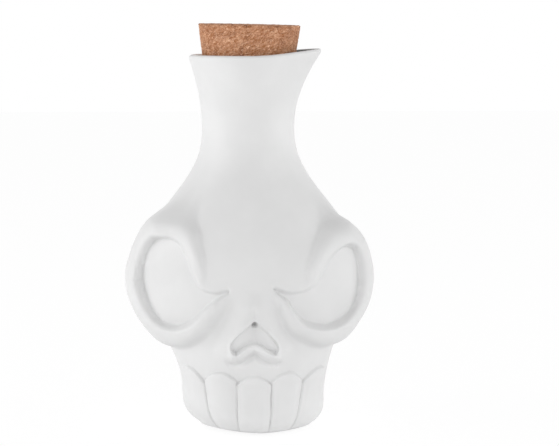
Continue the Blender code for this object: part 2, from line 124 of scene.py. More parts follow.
# Depths of the sections in front of the neck's axis and behind it
CORNER_FRONT = 39.3
JAW_FRONT = 40.0
CHEEK_FRONT = 45.4
SKULL_FRONT = 50.5
SHOULDER_FRONT = 41.5
CORNER_BACK = 36.0
JAW_BACK = 37.5
CHEEK_BACK = 44.0
SKULL_BACK = 53.0
SHOULDER_BACK = 43.5
# How far the hand-built middle line wanders to the side
FOOT_SHIFT = 4.0
CORNER_SHIFT = 1.5
JAW_SHIFT = 1.4
CHEEK_SHIFT = 0.7
SKULL_SHIFT = -0.2
NECK_SHIFT = -0.8
# How square the sections are. Further up they are all ellipses
ELLIPSE = 2.0
CORNER_SQUARENESS = 2.05
JAW_SQUARENESS = 2.5
CHEEK_SQUARENESS = 2.15
SKULL_SQUARENESS = 2.05
print("the bottle's sections run from", CORNER_LEVEL, "to", LIP_LEVEL, "mm above the table")

# %% Curves through the stations
LEVELS = [
    CORNER_LEVEL, JAW_LEVEL, CHEEK_LEVEL, SKULL_LEVEL, SHOULDER_LEVEL,
    SLOPE_LEVEL, NAPE_LEVEL, WAIST_LEVEL, FLARE_LEVEL, LIP_LEVEL,
]
NECK = [SLOPE_RADIUS, NAPE_RADIUS, WAIST_RADIUS, FLARE_RADIUS, LIP_RADIUS]
WIDTHS = [CORNER_HALF_WIDTH, JAW_HALF_WIDTH, CHEEK_HALF_WIDTH, SKULL_HALF_WIDTH, SHOULDER_HALF_WIDTH]
side_width = spline(LEVELS, WIDTHS + NECK)
front_depth = spline(LEVELS, [CORNER_FRONT, JAW_FRONT, CHEEK_FRONT, SKULL_FRONT, SHOULDER_FRONT] + NECK)
back_depth = spline(LEVELS, [CORNER_BACK, JAW_BACK, CHEEK_BACK, SKULL_BACK, SHOULDER_BACK] + NECK)
SQUARENESS = [CORNER_SQUARENESS, JAW_SQUARENESS, CHEEK_SQUARENESS, SKULL_SQUARENESS]
squareness = spline(LEVELS, SQUARENESS + [ELLIPSE] * (len(LEVELS) - len(SQUARENESS)))
middle_shift = spline(
    [0, CORNER_LEVEL, JAW_LEVEL, CHEEK_LEVEL, SKULL_LEVEL, NAPE_LEVEL, LIP_LEVEL],
    [FOOT_SHIFT, CORNER_SHIFT, JAW_SHIFT, CHEEK_SHIFT, SKULL_SHIFT, NECK_SHIFT, NECK_SHIFT],
)

for level in (JAW_LEVEL, SKULL_LEVEL, WAIST_LEVEL, LIP_LEVEL):
    print("at", level, "mm the bottle is", round(2 * float(side_width(level)), 1), "mm wide")

# %% [markdown]
# ## Walls, foot and lip
#
# Slip-cast stoneware has an even wall of four to five millimetres, thinner at the lip, a rounded
# corner at the bottom and a low foot ring that keeps the middle of the underside off the table. The
# blank is one closed profile: up the outside, over the lip and down the inside. A Solidify modifier
# would also give a wall, but the profile lets the inside stay calm where the outside is carved.

# %% Outer and inner outline
# Foot, walls and lip
FOOT_HALF_WIDTH = 23.0
FOOT_RING_WIDTH = 7.0
# The corner between the foot and the jaw: 2 is an ellipse's quarter
CORNER_BEND = 2.1
FOOT_RECESS = 1.2
BODY_WALL = 4.6
NECK_WALL = 3.6
LIP_WALL = 3.2
FLOOR_THICKNESS = 6.0
INNER_CORNER = 14.0


def half_width(level):
    """Half width of the spun blank: the sections, with the rounded corner below them."""
    level = np.asarray(level, float)
    drop = np.clip((CORNER_LEVEL - level) / CORNER_LEVEL, 0.0, 1.0)
    tuck = (CORNER_HALF_WIDTH - FOOT_HALF_WIDTH) * (1.0 - (1.0 - drop**CORNER_BEND) ** (1 / CORNER_BEND))
    return side_width(level) - tuck


def inner_radius(level):
    """Radius of the blank's inside, a wall's thickness square to the outside."""
    slope = float(half_width(level + 0.5) - half_width(level - 0.5))
    neck = smooth((level - SHOULDER_LEVEL) / (WAIST_LEVEL - SHOULDER_LEVEL))
    lip = smooth((level - FLARE_LEVEL) / (LIP_LEVEL - FLARE_LEVEL))
    wall = BODY_WALL + (NECK_WALL - BODY_WALL) * neck + (LIP_WALL - NECK_WALL) * lip
    return float(half_width(level) - wall * math.sqrt(1 + slope**2))


for level in (SKULL_LEVEL, WAIST_LEVEL, FLARE_LEVEL):
    print("wall at", level, "mm:", round(float(half_width(level)) - inner_radius(level), 2), "mm across")

# %% The closed profile
# Rows of points: start, end and step. They are closest where the face is modelled
NOSE_TOP = 62.0
ROW_STEPS = [
    (CORNER_LEVEL, NOSE_TOP, 0.5), (NOSE_TOP, SHOULDER_LEVEL, 0.7), (SHOULDER_LEVEL, LIP_LEVEL, 3.0)
]
CORNER_ROWS = 14
INNER_ROWS = 24
# Steps of each rounding, and of the flat middle of the underside and of the floor
ROUND_STEPS = 8
FLAT_STEPS = 4


def bottle_profile():
    """The spun profile from under the foot up the outside, over the lip and down the inside."""
    ring = FOOT_HALF_WIDTH - FOOT_RING_WIDTH
    outside = [(ring * k / FLAT_STEPS, FOOT_RECESS) for k in range(FLAT_STEPS)]
    outside += [(ring - FOOT_RECESS, FOOT_RECESS), (ring, 0.0)]
    outside += [(ring + FOOT_RING_WIDTH * k / 3, 0.0) for k in (1, 2)]
    for k in range(CORNER_ROWS):
        level = CORNER_LEVEL * (1 - math.cos(math.pi / 2 * k / CORNER_ROWS))
        outside.append((float(half_width(level)), level))
    top = LIP_LEVEL - LIP_WALL / 2
    for level, end, step in ROW_STEPS:
        while level < min(end, top) - 0.5 * step:
            outside.append((float(half_width(level)), level))
            level += step
    outside.append((float(half_width(top)), top))
    middle = float(half_width(top)) - LIP_WALL / 2
    turns = [math.pi * k / ROUND_STEPS for k in range(1, ROUND_STEPS)]
    lip = [(middle + LIP_WALL / 2 * math.cos(a), top + LIP_WALL / 2 * math.sin(a)) for a in turns]
    floor_top = FLOOR_THICKNESS + INNER_CORNER
    levels = np.linspace(top, floor_top, INNER_ROWS)
    inside = [(inner_radius(level), level) for level in levels]
    floor = inside[-1][0] - INNER_CORNER
    turns = [math.pi / 2 * k / ROUND_STEPS for k in range(1, ROUND_STEPS + 1)]
    inside += [(floor + INNER_CORNER * math.cos(a), floor_top - INNER_CORNER * math.sin(a)) for a in turns]
    inside += [(floor * k / FLAT_STEPS, FLOOR_THICKNESS) for k in reversed(range(FLAT_STEPS))]
    return outside + lip, inside


print("profile points outside and inside:", [len(part) for part in bottle_profile()])

# %% [markdown]
# ## Spinning the blank
#
# bmesh's spin operator turns the profile round the axis like clay on a wheel. With use_merge the last
# step closes on the first. The points on the axis come out doubled, so they are merged, and the
# normals are turned outwards. An attribute remembers which points belong to the inside.

# %% Helpers for spun pieces
# Points of a profile on the axis come out closer together than this, in millimetres
DOUBLES = 1e-4


def spin_profile(mesh, profile, steps):
    """Turns the profile's points round the axis into a closed skin whose faces look outwards."""
    edges = [mesh.edges.new(pair) for pair in zip(profile, profile[1:])]
    bmesh.ops.spin(
        mesh, geom=profile + edges, cent=(0, 0, 0), axis=(0, 0, 1), angle=math.tau, steps=steps,
        use_merge=True,
    )
    bmesh.ops.remove_doubles(mesh, verts=mesh.verts, dist=DOUBLES)
    bmesh.ops.recalc_face_normals(mesh, faces=mesh.faces)


def mesh_data(mesh, name):
    """Ends the work on a mesh and returns it as data of this name."""
    data = bpy.data.meshes.new(name)
    mesh.to_mesh(data)
    mesh.free()
    return data


def new_object(name, data):
    """An object with this data, in the scene."""
    thing = bpy.data.objects.new(name, data)
    bpy.context.scene.collection.objects.link(thing)
    return thing


print("doubles closer than", DOUBLES, "mm are merged")

# %% Spin
BOTTLE_TURNS = 396


def spun_blank():
    """The closed blank as a mesh, with each point's part of the profile in its 'inner' attribute."""
    outside, inside = bottle_profile()
    mesh = bmesh.new()
    inner = mesh.verts.layers.int.new("inner")
    profile = []
    for number, (radius, level) in enumerate(outside + inside):
        vert = mesh.verts.new((radius, 0, level))
        vert[inner] = number >= len(outside)
        profile.append(vert)
    spin_profile(mesh, profile, BOTTLE_TURNS)
    return mesh_data(mesh, "skull_bottle")


blank = spun_blank()
print("blank:", len(blank.vertices), "points,", len(blank.polygons), "faces")

# %% [markdown]
# ## Teeth
#
# Five broad teeth stand round the jaw, as flat plates with arched tops and narrow grooves between
# them. They could be separate meshes joined by a boolean, but on the real thing they are one skin of
# clay with softened edges, so each is a rise of the surface. It climbs along a quarter circle at its
# edge, which reads as a crisp but rounded border.

# %% Relief of the teeth
# Teeth: boundaries as azimuths, tops of the arches, and the grooves between them
TOOTH_EDGES = [-66.0, -34.2, -11.3, 12.2, 33.4, 66.0]
TOOTH_TOPS = [34.2, 33.0, 31.0, 32.8, 33.4]
TOOTH_ARCHES = [7.5, 4.6, 4.3, 4.6, 6.5]
TOOTH_HEIGHT = 1.6
TOOTH_EDGE = 1.2
TOOTH_ARCH_BEND = 2.1
TOOTH_CROWN = 0.8
TOOTH_CROWN_EDGE = 4.0
TOOTH_FOOT = 3.0
TOOTH_END_FADE = 12.0


def tooth_relief(azimuth, level):
    """Rise of the teeth on the jaw: rounded plates with arched tops, meeting in narrow grooves."""
    turn = np.degrees(azimuth)
    rise = np.zeros(azimuth.shape)
    degree = JAW_FRONT * math.radians(1)
    for left, right, top, arch in zip(TOOTH_EDGES, TOOTH_EDGES[1:], TOOTH_TOPS, TOOTH_ARCHES):
        half = (right - left) / 2 * degree
        off = (turn - (left + right) / 2) * degree
        below_arch = top - arch * np.abs(off / half) ** TOOTH_ARCH_BEND - level
        inward = np.minimum(half - np.abs(off), below_arch)
        edge = 1 - np.clip(inward / TOOTH_EDGE, 0, 1)
        crown = TOOTH_CROWN * (1 - np.clip(off / half, -1, 1) ** 2)
        plate = TOOTH_HEIGHT * np.sqrt(1 - edge**2) + crown * smooth(inward / TOOTH_CROWN_EDGE)
        rise += np.where(inward > 0, plate, 0)
    ends = smooth((TOOTH_EDGES[-1] - np.abs(turn)) / TOOTH_END_FADE)
    return rise * smooth(level / TOOTH_FOOT) * ends


middle_tooth = tooth_relief(np.array([0.0]), np.array([15.0]))[0]
print("the middle tooth stands", round(float(middle_tooth), 2), "mm proud")

# %% [markdown]
# ## Pressing the blank
#
# Each point moves out or in until its ring has the section of its height: a superellipse, which runs
# from a true ellipse at the brow to a rounded square at the jaw. The points crowd towards the face,
# where the fine forms are.

# %% Press the sections and raise the teeth
FACE_CROWDING = 0.6
EYE_CROWDING = 0.1


def section_share(azimuth, level):
    """How far the section reaches at an azimuth, as a share of its half width."""
    power = squareness(level)
    across = np.abs(np.sin(azimuth))
    along = np.cos(azimuth)
    depth = np.where(along > 0, front_depth(level), back_depth(level)) / side_width(level)
    return (across**power + np.abs(along / depth) ** power) ** (-1.0 / power)


def press_sections(points, is_inner):
    """Presses the round blank to the skull's sections, with more of its points towards the face."""
    radius = np.hypot(points[:, 0], points[:, 1])
    azimuth = np.arctan2(points[:, 0], -points[:, 1])
    azimuth -= FACE_CROWDING * np.sin(azimuth) - EYE_CROWDING * np.sin(2 * azimuth)
    level = points[:, 2]
    radius *= section_share(azimuth, level)
    across = radius * np.sin(azimuth) + middle_shift(level)
    along = -radius * np.cos(azimuth)
    azimuth = np.arctan2(across, -along)
    rise = np.where(is_inner, 0, tooth_relief(azimuth, level))
    return np.stack([across + rise * np.sin(azimuth), along - rise * np.cos(azimuth), level], 1)


layout = np.empty(len(blank.vertices) * 3, np.float32)
blank.vertices.foreach_get("co", layout)
is_inner = np.empty(len(blank.vertices), np.int32)
blank.attributes["inner"].data.foreach_get("value", is_inner)
is_inner = is_inner.astype(bool)
points = press_sections(layout.reshape(-1, 3).astype(float), is_inner)
outside, inside = points[~is_inner], points[is_inner]
print("pressed box, mm:", outside.min(0).round(1), outside.max(0).round(1))

# %% [markdown]
# ## Drawing on clay
#
# The sockets and the nose opening are outlines drawn on the surface. A potter cuts them with a loop
# tool. Here a smooth closed curve runs through a few points, and every surface point asks how far it
# lies inside or outside that curve. Forms can then follow the outline at any width.

# %% Outlines and distances from them
def closed_curve(points, steps=8):
    """A smooth closed curve through the points, as many short chords; extra columns follow along."""
    p = np.array(points, float)
    before, after, second = np.roll(p, 1, 0), np.roll(p, -1, 0), np.roll(p, -2, 0)
    chords = []
    for t in np.arange(steps) / steps:
        chords.append(
            p + 0.5 * ((after - before) * t
                       + (2 * before - 5 * p + 4 * after - second) * t**2
                       + (3 * p - before - 3 * after + second) * t**3)
        )
    return np.stack(chords, 1).reshape(-1, p.shape[1])


def measure_from(curve, u, v):
    """Distance of each point from a closed curve, above 0 inside it, and the nearest chord's columns."""
    nearest = np.full(u.shape, 1e9)
    inside = np.zeros(u.shape, bool)
    extras = np.zeros(u.shape + (curve.shape[1] - 2,))
    for start, end in zip(curve, np.roll(curve, -1, 0)):
        (ax, ay), (dx, dy) = start[:2], end[:2] - start[:2]
        along = np.clip(((u - ax) * dx + (v - ay) * dy) / (dx * dx + dy * dy), 0.0, 1.0)
        distance = np.hypot(u - ax - along * dx, v - ay - along * dy)
        closer = distance < nearest
        nearest[closer] = distance[closer]
        extras[closer] = start[2:] + along[closer, None] * (end[2:] - start[2:])
        if dy != 0:
            inside ^= ((ay > v) != (ay + dy > v)) & (u < ax + dx * (v - ay) / dy)
    return np.where(inside, nearest, -nearest), extras


ring_test = closed_curve([(1, 0), (0, 1), (-1, 0), (0, -1)])
ring_depth, _ = measure_from(ring_test, np.zeros(1), np.zeros(1))
print("the middle of a unit ring lies", ring_depth[0].round(2), "inside")

# %% [markdown]
# ## Eye sockets
#
# The sockets are the hardest form of the piece. A fat rolled rim swells out past the skull's outline,
# thins over the nose to a scowling lid, and a shallow crowned floor lies inside it. The two eyes are
# not mirror images on the real thing, so each has its own outline, and every point of the outline
# carries the rim's height and width and the width of the wall inside it. Sculpting by hand would
# work too, but here each swelling stays a number that can be corrected against the photograph.

# %% Sizes of the eyes
# Each eye is drawn at the skull's level on a plane turned this far from the face. Its socket has a
# crowned floor, whose middle lies at an azimuth of its own and a depth under the section
EYE_AZIMUTH = 31.0
SOCKET_AZIMUTH = 44.0
SOCKET_DEPTH = 1.2
SOCKET_TURN = 0.01
SOCKET_LEAN = -0.045
SOCKET_CROWN_RADIUS = 85.0
# A wall climbs from the socket's crease and rolls over into the rim, which leans outwards as it falls
WALL_ROLL = 1.5
RIM_FALL = 0.42
RIM_BLEND = 0.1
RIM_BLEND_HEIGHT = 24.0
RIM_LEAN = 2.5
# The upper rims stay level where the skull falls away under them, but not at their outer ends
RIM_LIFT = 0.55
RIM_LIFT_HEIGHT = 12.0
RIM_LIFT_END = 22.0
RIM_LIFT_FADE = 14.0
# Inside the bottle the eye shows as a softer and wider dent
INNER_RIM = 0.25
INNER_LEAD = 5.0
EYE_REACH = 50.0
# The sponge wipes the brow and the valley round each rim, and only touches the outer walls' edges
BROW_EDGE = 3.0
BROW_WIDTH = 22.0
BROW_FADE = 8.0
VALLEY_WIDTH = 5.0
EDGE_WIPE = 0.25
SPONGE_STROKES = 8
# The creases in which the sockets' floors end. Each point: outward and up from the socket's middle, then
# the rim's height and width, and the width of the wall that climbs to it
RIGHT_SOCKET = [
    (13.5, 19.5, 11.5, 11.2, 2.4), (8.3, 20.3, 10, 11, 2.4), (3.5, 19.7, 6.6, 10, 2.8),
    (-0.5, 17.3, 4.0, 8, 3.4), (-2.9, 14.1, 2.8, 6, 3.6), (-4.6, 10.8, 2.1, 5.5, 4),
    (-6.1, 7.1, 1.6, 5, 4.2), (-8.3, 2.6, 1.1, 4, 4.2), (-11.8, -2.4, 0.6, 3.2, 3.0),
    (-16.5, -4.4, 0.4, 3, 1.7), (-21.6, -4.8, 0.2, 2.5, 1.5), (-26.6, -3.5, 0.0, 2, 1.2),
    (-23.5, -5.5, 1.6, 2.8, 2.2), (-20.4, -7.0, 3.2, 3.4, 3.2), (-16.4, -10.1, 4.8, 4.0, 4.0),
    (-11.6, -14.4, 6.2, 4.6, 4.5), (-5.7, -18.8, 7.2, 6.2, 4.0), (1.7, -21.3, 8.6, 8.6, 3.0),
    (9.3, -20.1, 11, 11.8, 2.5), (14.4, -15.3, 12.3, 12.6, 2.1), (18.8, -7.8, 11.0, 13.6, 1.8),
    (21.8, 0.8, 9.0, 13.2, 1.7), (21.1, 7.5, 8.1, 12.3, 1.7), (18.4, 14.2, 9.4, 11.8, 2.0),
]
LEFT_SOCKET = [
    (15.5, 14.7, 10.4, 11.0, 2.4), (10.4, 16.1, 9.4, 11.0, 2.6), (4.7, 12.7, 5.0, 9, 3.4),
    (0.0, 8.2, 2.8, 7, 4), (-3.8, 3.4, 1.8, 5.5, 4.2), (-7.6, -1.5, 1.2, 4.5, 4),
    (-11.7, -3.9, 0.7, 3.3, 2.5), (-16.4, -5.1, 0.4, 3, 1.7), (-22.4, -4.9, 0.2, 2.5, 1.5),
    (-29.1, -2.3, 0.0, 2, 1.2), (-25.6, -5.3, 1.6, 2.6, 2.2), (-22.1, -7.9, 3.0, 3.0, 3.0),
    (-19.5, -11.9, 4.4, 3.6, 3.8), (-14.9, -17.0, 6.0, 4.8, 4.2), (-7.6, -20.0, 7.2, 6.6, 3.6),
    (0.1, -21.0, 8.8, 9.4, 2.8), (7.5, -19.2, 10.5, 12.2, 2.4), (13.3, -15.5, 11.3, 12.6, 2.1),
    (16.7, -10.6, 10.6, 13.4, 1.9), (19.1, -2.6, 8.8, 13.6, 1.8), (19.4, 5.2, 8.1, 13.2, 1.8),
    (18.2, 10.9, 9.2, 12.0, 2.0),
]
print("the sockets are drawn through", len(RIGHT_SOCKET), "and", len(LEFT_SOCKET), "points")

# %% [markdown]
# ## Steeper outer walls
#
# The outer walls of the sockets are nearly upright in the real clay, and this fine mesh can hold a
# steeper wall than the CAD solid. So each crease moves outwards and sinks towards its outer end, its
# wall gets narrower, and the rim's crest comes down a little while its flank fills out.

# %% Steepen the outer walls
OUTER_START = 6.0
OUTER_FADE = 8.0
CREASE_SHIFT = 0.8
CREASE_DROP = 1.8
CREASE_REACH = 22.0
CREASE_BEND = 4
WALL_NARROWING = 0.3
CREST_DROP = 0.14
FLANK_GAIN = 0.16

for outline in (RIGHT_SOCKET, LEFT_SOCKET):
    for number, (s, t, height, width, wall) in enumerate(outline):
        outer = smooth((s - OUTER_START) / OUTER_FADE)
        height, width = height * (1 - CREST_DROP * outer), width * (1 + FLANK_GAIN * outer)
        wall = wall * (1 - WALL_NARROWING * outer)
        outline[number] = (s + CREASE_SHIFT * outer, t, height, width, wall)
    print("an outer crease reaches", round(max(point[0] for point in outline), 1), "mm from the middle")

# %% Raise the rims and press the sockets
def unit(vectors):
    """The same directions with a length of 1."""
    return vectors / np.linalg.norm(vectors, axis=1)[:, None]


def model_eye(points, outline, side, inner):
    """Raises the rim round one eye and presses its socket in, along the eye's own direction.

    Returns how much the sponge wipes each point, from 0 to 1.
    """
    turn = math.radians(EYE_AZIMUTH)
    out = np.array([side * math.sin(turn), -math.cos(turn), 0.0])
    across = np.array([side * math.cos(turn), math.sin(turn), 0.0])
    reach = SKULL_HALF_WIDTH * section_share(math.radians(SOCKET_AZIMUTH), SKULL_LEVEL)
    angle = math.radians(SOCKET_AZIMUTH - EYE_AZIMUTH)
    s, t = points @ across - reach * math.sin(angle), points[:, 2] - SKULL_LEVEL
    near = (points @ out > 0) & (np.hypot(s, t) < EYE_REACH)
    s, t, spot = s[near], t[near], points[near]
    inward, extras = measure_from(closed_curve(outline), s, t)
    height, width, wall = extras.T

    outward = np.maximum(-inward, 0)
    fall = np.clip((outward - wall) / width, 0, 1)
    softness = RIM_FALL + RIM_BLEND * smooth(t / RIM_BLEND_HEIGHT + 0.5)
    lift = RIM_LIFT * smooth(t / RIM_LIFT_HEIGHT) * smooth((RIM_LIFT_END - s) / RIM_LIFT_FADE)
    rim = (height + lift * fall * width) * (1 - fall**2) ** softness
    lean = RIM_LEAN * np.sqrt(fall)
    floor = reach * math.cos(angle) - SOCKET_DEPTH + SOCKET_TURN * s + SOCKET_LEAN * t
    floor -= (s**2 + t**2) / (2 * SOCKET_CROWN_RADIUS)
    floor -= CREASE_DROP * np.clip(s / CREASE_REACH, 0, 1) ** CREASE_BEND
    press = np.clip(1 - outward / wall, 0, 1) ** WALL_ROLL
    if inner:
        floor -= BODY_WALL
        press = smooth(1 - outward / (wall + INNER_LEAD))
        rim *= INNER_RIM
    raised = spot + unit(unit(spot * [1, 1, 0]) * lean[:, None] + out) * rim[:, None]
    pressed = spot + out * (floor - spot @ out)[:, None]
    points[near] = raised + (pressed - raised) * press[:, None]
    wiped = np.zeros(len(points))
    brow = smooth(t / BROW_FADE) * (outward > BROW_EDGE) * (outward < BROW_WIDTH)
    valley = np.abs(outward - wall - width) < VALLEY_WIDTH / 2
    wall_edge = EDGE_WIPE * (outward > 0) * (outward < BROW_EDGE) * (s > OUTER_START)
    wiped[near] = np.maximum(np.maximum(brow, valley), wall_edge)
    return wiped


wiped = np.zeros(len(outside))
for outline, side in ((RIGHT_SOCKET, -1), (LEFT_SOCKET, 1)):
    wiped = np.maximum(wiped, model_eye(outside, outline, side, False))
    model_eye(inside, outline, side, True)
print("width over the rims:", round(float(np.ptp(outside[:, 0])), 1), "mm")

# %% [markdown]
# ## Nose and upper lip
#
# Two soft ridges run down beside the nose. Between them a heart-shaped opening is cut with a thin
# raised edge and one deep, dark pit at its top, and a roll of clay like a small moustache hangs below
# it. Edge and roll are a little crisper here than on the CAD solid. Inside, the wall gets a pad, so
# that the pit never breaks through.

# %% Sizes of the nose
# A shallow heart drawn from the front, across from the middle and up from the table
NOSE_OUTLINE = [
    (0.2, 59.6), (3.1, 56.9), (6.2, 54.1), (9.3, 50.6), (11.4, 47.6), (11.9, 44.6), (10.3, 42.4),
    (7.0, 43.8), (3.4, 46.5), (0.2, 47.7), (-2.8, 46.6), (-6.2, 43.9), (-8.6, 42.3), (-10.8, 43.9),
    (-11.5, 47.2), (-9.7, 50.8), (-6.4, 54.0), (-3.0, 56.9),
]
NOSE_DEPTH = 1.5
NOSE_WALL = 0.6
NOSE_EDGE_HEIGHT = 0.8
NOSE_EDGE_WIDTH = 1.8
NOSE_LEVEL = 52.0
NOSE_REACH = 34.0
# The tool's mark where the opening's two lobes meet
NOSE_PIT = (0.2, 57.9)
NOSE_PIT_DEPTH = 3.8
NOSE_PIT_RADIUS = 1.9
NOSE_BACKING = 2.6
NOSE_BACKING_RADIUS = 20.0
# The lip is a roll that follows the opening's lower edge, with a groove under it
LIP_HEIGHT = 3.7
LIP_WIDTH = 5.0
LIP_TOP = 50.0
LIP_DROOP = 0.42
LIP_FADE = 5.0
LIP_HALF_LENGTH = 14.6
LIP_END = 4.0
LIP_ROLL = 2.2
LIP_GROOVE_DEPTH = 1.5
LIP_GROOVE_WIDTH = 5.6
NOTCH_WIDTH = 2.0
LIP_SLOPE = 1.6
# A ridge runs down each side of the nose, from the bridge to the cheekbone's foot
BRIDGE_LEVEL = 70.0
CHEEKBONE_FOOT = (11.2, 44.0)
CHEEKBONE_HEIGHT = 2.8
CHEEKBONE_WIDTH = 9.5
CHEEKBONE_FADE = 10.0
CHEEKBONE_TAIL = 8.0

print("the nose opening is drawn through", len(NOSE_OUTLINE), "points, and its pit is",
      NOSE_DEPTH + NOSE_PIT_DEPTH, "mm deep")

# %% Model the nose
def model_nose(points):
    """The cheekbones' ridges, the heart-shaped opening, its raised edge and the lip below it."""
    near = (points[:, 1] < 0) & (np.hypot(points[:, 0], points[:, 2] - NOSE_LEVEL) < NOSE_REACH)
    x, z = points[near, 0], points[near, 2]
    aside = np.hypot(x, NOTCH_WIDTH) - NOTCH_WIDTH
    foot_x, foot_z = CHEEKBONE_FOOT
    along = np.clip((BRIDGE_LEVEL - z) / (BRIDGE_LEVEL - foot_z), 0, 1)
    off = np.abs(np.abs(x) - foot_x * along)
    top_fade = smooth((BRIDGE_LEVEL - z) / CHEEKBONE_FADE + 0.5)
    foot_fade = smooth((z - foot_z + CHEEKBONE_TAIL) / CHEEKBONE_FADE)
    rise = CHEEKBONE_HEIGHT * (1 - smooth(off / CHEEKBONE_WIDTH)) * top_fade * foot_fade
    inward, _ = measure_from(closed_curve(NOSE_OUTLINE), x, z)
    outward = np.maximum(-inward, 0)
    low = smooth((LIP_TOP - LIP_DROOP * aside - z) / LIP_FADE)
    rise += NOSE_EDGE_HEIGHT * (1 - smooth(outward / NOSE_EDGE_WIDTH)) * (1 - low)
    ends = smooth((LIP_HALF_LENGTH - np.abs(x)) / LIP_END)
    roll = 1 - np.clip(outward / LIP_WIDTH, 0, 1) ** LIP_ROLL
    groove = 1 - smooth(np.abs(outward - LIP_WIDTH) * 2 / LIP_GROOVE_WIDTH)
    lip = low * ends * (LIP_HEIGHT * roll - LIP_GROOVE_DEPTH * groove)
    pit_x, pit_z = NOSE_PIT
    pit = NOSE_PIT_DEPTH * (1 - smooth(np.hypot(x - pit_x, z - pit_z) / NOSE_PIT_RADIUS))
    press = smooth(inward / (NOSE_WALL + low * LIP_SLOPE))
    rise += lip * (1 - press) - press * (NOSE_DEPTH + pit)
    points[near, 1] -= rise


def back_nose(points):
    """Thickens the wall behind the nose, so that its pit stays closed."""
    x, z = NOSE_PIT
    away = np.hypot(points[:, 0] - x, points[:, 2] - z) / NOSE_BACKING_RADIUS
    points[:, 1] += np.where(points[:, 1] < 0, NOSE_BACKING * (1 - smooth(away)), 0)


model_nose(outside)
back_nose(inside)
pit = outside[np.hypot(outside[:, 0] - NOSE_PIT[0], outside[:, 2] - NOSE_PIT[1]) < 1]
print("the pit's bottom lies at y =", round(float(pit[pit[:, 1] < 0][:, 1].max()), 1), "mm")

# %% [markdown]
# ## The pouring lip
#
# While the clay is soft a finger draws the rim out and up on one side. The pull is strongest at the
# very edge and dies away down the flare, so the wall keeps its thickness and the inside follows.

# %% Pull the lip
SPOUT_AZIMUTH = 90.0
SPOUT_REACH = 7.6
SPOUT_RISE = 2.9
SPOUT_START = 148.0
SPOUT_SHARPNESS = 5.0
SPOUT_CLIMB = 2.6


def pull_spout(points):
    """Draws the rim out and up on one side into a pouring lip."""
    across = points[:, 0] - NECK_SHIFT
    azimuth = np.arctan2(across, -points[:, 1])
    radius = np.hypot(across, points[:, 1])
    toward = np.maximum(0, np.cos(azimuth - math.radians(SPOUT_AZIMUTH)))
    climb = np.clip((points[:, 2] - SPOUT_START) / (LIP_LEVEL - SPOUT_START), 0, None) ** SPOUT_CLIMB
    radius = radius + SPOUT_REACH * toward**SPOUT_SHARPNESS * climb
    points[:, 2] += SPOUT_RISE * toward**2 * climb
    points[:, 0] = radius * np.sin(azimuth) + NECK_SHIFT
    points[:, 1] = -radius * np.cos(azimuth)


points[~is_inner], points[is_inner] = outside, inside
pull_spout(points)
print("the lip's tip reaches x =", round(float(points[:, 0].max()), 1), "and the rim's top z =",
      round(float(points[:, 2].max()), 1), "mm")

# %% [markdown]
# ## Sponging
#
# The brow runs into the forehead without a line, because it was wiped with a wet sponge. The
# smooth_vert operator does the same to the marked points: each stroke moves them towards their
# neighbours. An attribute then marks where the inside is coloured dark. The dark colour reaches the
# roll's crest at the lip, and stops below the roll elsewhere.

# %% Sponge the brow and finish the bottle
SPONGE_PRESSURE = 0.5
# The dark colour of the inside fades in over the roll's half width divided by the first value
# below. It reaches the crest where the second value times the cosine of the angle from the lip is
# 1 or more: 60 degrees to each side
DARK_INSIDE_EDGE = 1.5
DARK_CREST_SPREAD = 2


def sponge(data, strokes):
    """Softens a mesh's points, each as often as its count of strokes, as a damp sponge does to clay."""
    mesh = bmesh.new()
    mesh.from_mesh(data)
    mesh.verts.ensure_lookup_table()
    for stroke in range(int(strokes.max())):
        verts = [mesh.verts[i] for i in np.flatnonzero(strokes > stroke)]
        bmesh.ops.smooth_vert(
            mesh, verts=verts, factor=SPONGE_PRESSURE, use_axis_x=True, use_axis_y=True, use_axis_z=True
        )
    mesh.to_mesh(data)
    mesh.free()


def dark_inside_share(spun):
    """How much of the dark colour of the inside each point of the spun blank takes, from 0 to 1."""
    roll_level, roll = LIP_LEVEL - LIP_WALL / 2, LIP_WALL / 2
    past_crest = half_width(roll_level) - roll - np.hypot(spun[:, 0], spun[:, 1])
    azimuth = np.arctan2(spun[:, 0], -spun[:, 1])
    toward_spout = smooth(DARK_CREST_SPREAD * np.cos(azimuth - math.radians(SPOUT_AZIMUTH)))
    on_roll = smooth((past_crest / roll + toward_spout - 1) * DARK_INSIDE_EDGE)
    return np.where(spun[:, 2] > roll_level, on_roll, is_inner)


blank.vertices.foreach_set("co", (points * MM).astype(np.float32).ravel())
blank.attributes.remove(blank.attributes["inner"])
dark_inside = blank.attributes.new("dark_inside", "FLOAT", "POINT")
dark_inside.data.foreach_set("value", dark_inside_share(layout.reshape(-1, 3)).astype(np.float32))
strokes = np.zeros(len(points))
strokes[~is_inner] = np.round(wiped * SPONGE_STROKES)
sponge(blank, strokes)
blank.shade_smooth()
bottle = new_object("stoneware_bottle", blank)
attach(bottle, "bottle")
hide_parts("skull_bottle")
fine = np.array([vert.co for vert in blank.vertices]) / MM
print("fine bottle, mm:", fine.min(0).round(1), fine.max(0).round(1))

# %% [markdown]
# ## The cork's shape
#
# Agglomerated cork is ground bark pressed with a binder, then turned to a taper of sixteen degrees.
# Its granules of one to three millimetres tear out here and there, mostly along the top edge. The
# plug is spun from a fine profile, so that the granules can be real relief and not only bump.

# %% Profile of the cork
CORK_LENGTH = 38.0
CORK_HALF_ANGLE = 8.0
CORK_TOP_LEVEL = 201.0
CORK_TOP_SLANT = 1.1
CORK_EDGE = 0.8
CORK_CLEARANCE = 0.35
CORK_TURNS = 320
CORK_ROW = 0.6
EDGE_STEPS = 4
SEAT_SAMPLES = 60

